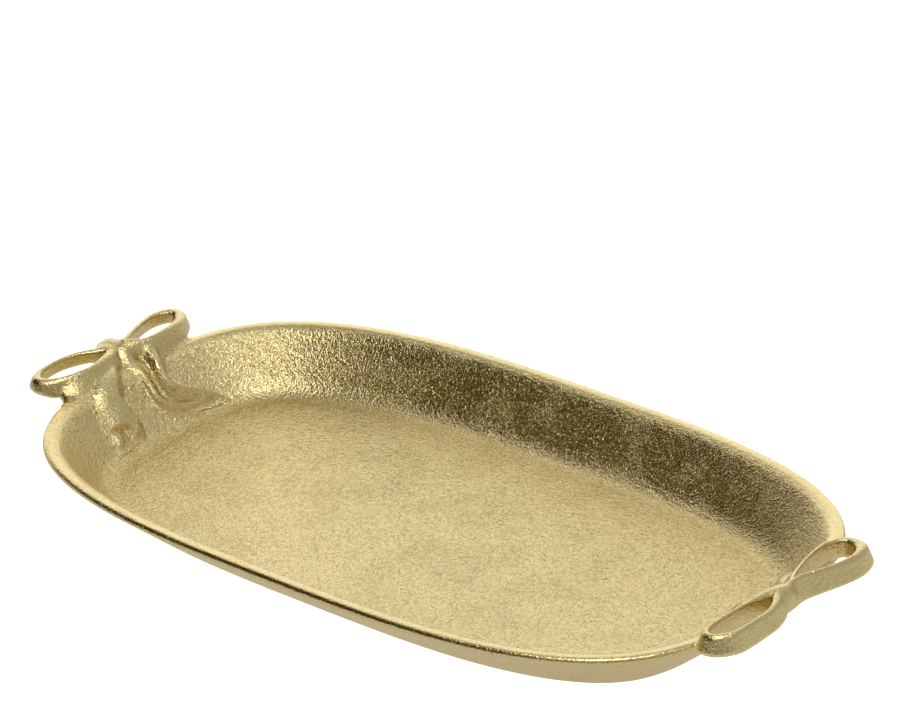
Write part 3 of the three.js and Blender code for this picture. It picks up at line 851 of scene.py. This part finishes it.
def brass_material(name, finish, grain_share):
    """Sand-cast brass: a grainy skin with pits and specks, rubbed smoother where a hand or a file reaches,
    with painted shade darkening its creases.
    """
    material = bpy.data.materials.new(name)
    material.use_nodes = True
    tree = material.node_tree
    tree.nodes.clear()
    n = Nodes(tree)
    where = n.add("ShaderNodeTexCoord").outputs["Object"]
    rubbed = n.add("ShaderNodeAttribute", attribute_name="rubbed").outputs["Fac"]
    size = finish.grain_size
    sand = n.noise(where, size, 2.5, 0.55)
    clumps = n.noise(where, 2.4 * size, 2, 0.5, 0.3)
    worms = n.noise(where, 2.6 * size, 1.0, 0.4, 2.2)
    lines = n.ramp(n.math("ABSOLUTE", n.math("SUBTRACT", worms, 0.5)), 0.0, 0.045, 1, 0)
    patches = n.noise(where, 26 * MM, 2, 0.5)
    lines = n.math("MULTIPLY", lines, n.ramp(patches, 0.46, 0.62))
    cells = n.add("ShaderNodeTexVoronoi", {"Vector": where, "Scale": 1 / (2.9 * MM)}, feature="F1")
    chance = n.add("ShaderNodeSeparateColor", {0: cells.outputs["Color"]}).outputs[0]
    pits = n.math("MULTIPLY", n.ramp(cells.outputs["Distance"], 0.06, 0.16, 1, 0), n.ramp(chance, 0.5, 0.54))
    height = n.math("ADD", n.math("MULTIPLY", sand, 0.62), n.math("MULTIPLY", clumps, 0.55))
    height = n.math("SUBTRACT", height, n.math("MULTIPLY", lines, 0.05))
    height = n.math("SUBTRACT", height, n.math("MULTIPLY", pits, 0.7))
    amount = n.ramp(rubbed, 0, 1, grain_share, 0.42 * grain_share)
    height = n.math("MULTIPLY", height, amount)
    scratches = n.noise(n.vector("MULTIPLY", where, (1.0, 0.22, 1.0)), 0.5 * MM, 2, 0.6)
    height = n.math("ADD", height, n.math("MULTIPLY", scratches, 0.02))
    bump = n.add("ShaderNodeBump", {"Height": height, "Distance": finish.grain_depth, "Strength": 1.0})

    crease = n.add("ShaderNodeAttribute", attribute_name="hollow").outputs["Fac"]
    rough_sand = n.math("ADD", n.math("MULTIPLY", sand, 0.5), n.math("MULTIPLY", clumps, 0.5))
    dents = n.ramp(rough_sand, 0.34, 0.5, 1, 0)
    dark = n.math("ADD", n.math("MULTIPLY", dents, 0.3), n.math("MULTIPLY", pits, 0.8))
    dark = n.math("ADD", dark, n.math("MULTIPLY", lines, 0.06))
    dark = n.math("ADD", dark, n.ramp(rubbed, 0.3, 1, 0, 0.24))
    dark = n.math("MULTIPLY", dark, n.ramp(rubbed, 0, 1, 1, 0.5))
    tone = n.noise(where, 60 * MM, 3, 0.55)
    dark = n.math("ADD", dark, n.ramp(tone, 0.42, 0.75, 0, 0.05))
    # Painted shade: the bows' creases, read from the hollow attribute, are darkened towards the patina
    # colour, which here stands for shade rather than patina.
    dark = n.math("ADD", dark, n.ramp(crease, 0.05, 0.7, 0, 0.6), clamp=True)
    base = n.mix(dark, (*finish.brass, 1), (*finish.patina_and_shade, 1))
    rough = n.ramp(rubbed, 0, 1, finish.cast_roughness, finish.rubbed_roughness)
    rough = n.math("ADD", rough, n.ramp(clumps, 0.3, 0.7, 0.05, -0.03))
    rough = n.math("ADD", rough, n.math("MULTIPLY", pits, 0.2))
    rough = n.math("ADD", rough, n.ramp(crease, -0.5, 0, -0.06, 0), clamp=True)
    shader = n.add("ShaderNodeBsdfPrincipled", {"Base Color": base, "Roughness": rough, "Metallic": 1.0})
    n.feed(shader.inputs["Normal"], bump.outputs[0])
    n.feed(n.add("ShaderNodeOutputMaterial").inputs["Surface"], shader.outputs[0])
    return material


def rubber_material(finish):
    material = bpy.data.materials.new("bumper_rubber")
    material.use_nodes = True
    tree = material.node_tree
    tree.nodes.clear()
    n = Nodes(tree)
    where = n.add("ShaderNodeTexCoord").outputs["Object"]
    speckle = n.noise(where, 0.4 * MM, 3, 0.6)
    dust = n.noise(where, 5 * MM, 3, 0.6)
    base = n.mix(n.ramp(dust, 0.4, 0.8, 0, 0.25), (*finish.rubber, 1), (0.12, 0.11, 0.10, 1))
    rough = n.ramp(speckle, 0.3, 0.7, 0.62, 0.82)
    bump = n.add("ShaderNodeBump", {"Height": speckle, "Distance": 0.05 * MM, "Strength": 0.8})
    inputs = {"Base Color": base, "Roughness": rough, "Specular IOR Level": 0.4}
    shader = n.add("ShaderNodeBsdfPrincipled", inputs)
    n.feed(shader.inputs["Normal"], bump.outputs[0])
    n.feed(n.add("ShaderNodeOutputMaterial").inputs["Surface"], shader.outputs[0])
    return material


# ------------------------------------------------------------------------------------------------- studio


def view_axes(azimuth, elevation, roll):
    a, e, r = (math.radians(v) for v in (azimuth, elevation, roll))
    back = Vector((math.sin(a) * math.cos(e), -math.cos(a) * math.cos(e), math.sin(e)))
    level = Vector((math.cos(a), math.sin(a), 0))
    above = back.cross(level)
    return (level * math.cos(r) + above * math.sin(r), above * math.cos(r) - level * math.sin(r), back)


def make_camera(stage):
    right, up, back = view_axes(*VIEW)
    data = bpy.data.cameras.new("camera")
    data.lens = stage.lens
    data.sensor_width = 36
    data.clip_start, data.clip_end = 0.1, 50
    camera = bpy.data.objects.new("camera", data)
    bpy.context.scene.collection.objects.link(camera)
    target = right * AIM_RIGHT + up * AIM_UP + Vector((0, 0, PAN_BASE))
    place = Matrix((right, up, back)).transposed().to_4x4()
    place.translation = target + back * VIEW_AWAY
    camera.matrix_world = place
    bpy.context.scene.camera = camera


def card(name, centre, facing, width, height, tint, strength):
    """A panel that shows only in reflections."""
    data = bpy.data.meshes.new(name)
    w, h = width / 2, height / 2
    data.from_pydata([(-w, -h, 0), (w, -h, 0), (w, h, 0), (-w, h, 0)], [], [(0, 1, 2, 3)])
    made = new_object(name, data)
    made.location = centre
    made.rotation_mode = "QUATERNION"
    made.rotation_quaternion = Vector(facing).to_track_quat("Z", "Y")
    material = bpy.data.materials.new(name)
    material.use_nodes = True
    tree = material.node_tree
    tree.nodes.clear()
    n = Nodes(tree)
    glow = n.add("ShaderNodeEmission", {"Color": (*tint, 1), "Strength": strength})
    n.feed(n.add("ShaderNodeOutputMaterial").inputs["Surface"], glow.outputs[0])
    data.materials.append(material)
    made.visible_camera = False
    made.visible_diffuse = False
    made.visible_shadow = False
    return made


def make_floor(stage):
    """A floor that the camera sees as evenly lit, over one that the metal reflects."""
    w = FLOOR_REACH
    for name, z, glow, seen in FLOORS:
        data = bpy.data.meshes.new(name)
        data.from_pydata([(-w, -w, z), (w, -w, z), (w, w, z), (-w, w, z)], [], [(0, 1, 2, 3)])
        floor = new_object(name, data)
        material = bpy.data.materials.new(name)
        material.use_nodes = True
        shader = material.node_tree.nodes["Principled BSDF"]
        shader.inputs["Base Color"].default_value = (*stage.floor, 1)
        shader.inputs["Roughness"].default_value = 0.9
        shader.inputs["Specular IOR Level"].default_value = 0.1
        shader.inputs["Emission Color"].default_value = (1, 1, 1, 1)
        shader.inputs["Emission Strength"].default_value = glow
        data.materials.append(material)
        floor.visible_camera = seen
        floor.visible_glossy = not seen
        floor.visible_diffuse = not seen


def make_lights(stage):
    world = bpy.data.worlds.new("studio")
    bpy.context.scene.world = world
    world.use_nodes = True
    sky = world.node_tree.nodes["Background"]
    sky.inputs["Color"].default_value = (1, 1, 1, 1)
    sky.inputs["Strength"].default_value = stage.sky
    data = bpy.data.lights.new("overhead", "AREA")
    data.shape = "RECTANGLE"
    way, away, (data.size, data.size_y) = OVERHEAD
    data.energy = stage.key
    lamp = bpy.data.objects.new("overhead", data)
    bpy.context.scene.collection.objects.link(lamp)
    lamp.location = Vector(way).normalized() * away
    lamp.rotation_mode = "QUATERNION"
    lamp.rotation_quaternion = lamp.location.to_track_quat("Z", "Y")
    for name, way, away, width, height, tint, strength in CARDS:
        place = Vector(way).normalized() * away
        card(name, place, -place, width, height, tint, strength)


# ---------------------------------------------------------------------------------------------- operators


def material_for(name, make):
    return bpy.data.materials.get(name) or make()


class TRAY_OT_pan(bpy.types.Operator):
    """Make the cast pan"""

    bl_idname = "tray.pan"
    bl_label = "Pan"

    def execute(self, context):
        scene = context.scene
        metal = material_for("cast_brass", lambda: brass_material("cast_brass", scene.tray_finish, 1.0))
        dress(make_pan(scene.tray_pan, metal), metal, "pan_brass", "pan")
        return {"FINISHED"}


class TRAY_OT_bows(bpy.types.Operator):
    """Make the two ribbon bows"""

    bl_idname = "tray.bows"
    bl_label = "Bows"

    def execute(self, context):
        scene = context.scene
        metal = material_for("rubbed_brass", lambda: brass_material("rubbed_brass", scene.tray_finish, 1.5))
        for name in LOOPS:
            dress(make_bow(name, scene.tray_pan, scene.tray_bows), metal, "bow_brass", name)
        return {"FINISHED"}


class TRAY_OT_feet(bpy.types.Operator):
    """Make the four stick-on feet"""

    bl_idname = "tray.feet"
    bl_label = "Feet"

    def execute(self, context):
        rubber = material_for("bumper_rubber", lambda: rubber_material(context.scene.tray_finish))
        for name in ("foot_back_left", "foot_back_right", "foot_front_left", "foot_front_right"):
            dress(make_foot(name), rubber, "foot_rubber", name)
        return {"FINISHED"}


class TRAY_OT_stage(bpy.types.Operator):
    """Set up the floor, the lights and the camera"""

    bl_idname = "tray.stage"
    bl_label = "Studio"

    def execute(self, context):
        stage = context.scene.tray_stage
        make_floor(stage)
        make_lights(stage)
        make_camera(stage)
        context.scene.view_settings.view_transform = "Standard"
        return {"FINISHED"}


class VIEW3D_PT_tray(bpy.types.Panel):
    """Sizes, finish and studio of the tray"""

    bl_label = "Brass tray"
    bl_space_type = "VIEW_3D"
    bl_region_type = "UI"
    bl_category = "Tray"

    def draw(self, context):
        scene = context.scene
        for title, settings, operators in (
            ("Pan", scene.tray_pan, ("tray.pan",)),
            ("Bows", scene.tray_bows, ("tray.bows",)),
            ("Finish", scene.tray_finish, ("tray.feet",)),
            ("Studio", scene.tray_stage, ("tray.stage",)),
        ):
            box = self.layout.box()
            box.label(text=title)
            for key in settings.__annotations__:
                box.prop(settings, key)
            for operator in operators:
                box.operator(operator)


GROUPS = {
    "tray_pan": TrayPanSizes,
    "tray_bows": TrayBowSizes,
    "tray_finish": TrayFinish,
    "tray_stage": TrayStage,
}
OPERATORS = (TRAY_OT_pan, TRAY_OT_bows, TRAY_OT_feet, TRAY_OT_stage)


def register():
    for cls in (*GROUPS.values(), *OPERATORS, VIEW3D_PT_tray):
        bpy.utils.register_class(cls)
    for name, group in GROUPS.items():
        setattr(bpy.types.Scene, name, PointerProperty(type=group))


def unregister():
    for name in GROUPS:
        delattr(bpy.types.Scene, name)
    for cls in reversed((*GROUPS.values(), *OPERATORS, VIEW3D_PT_tray)):
        bpy.utils.unregister_class(cls)


def main():
    register()
    bpy.ops.tray.pan()
    bpy.ops.tray.bows()
    bpy.ops.tray.feet()
    bpy.ops.tray.stage()


if __name__ == "__main__":
    main()
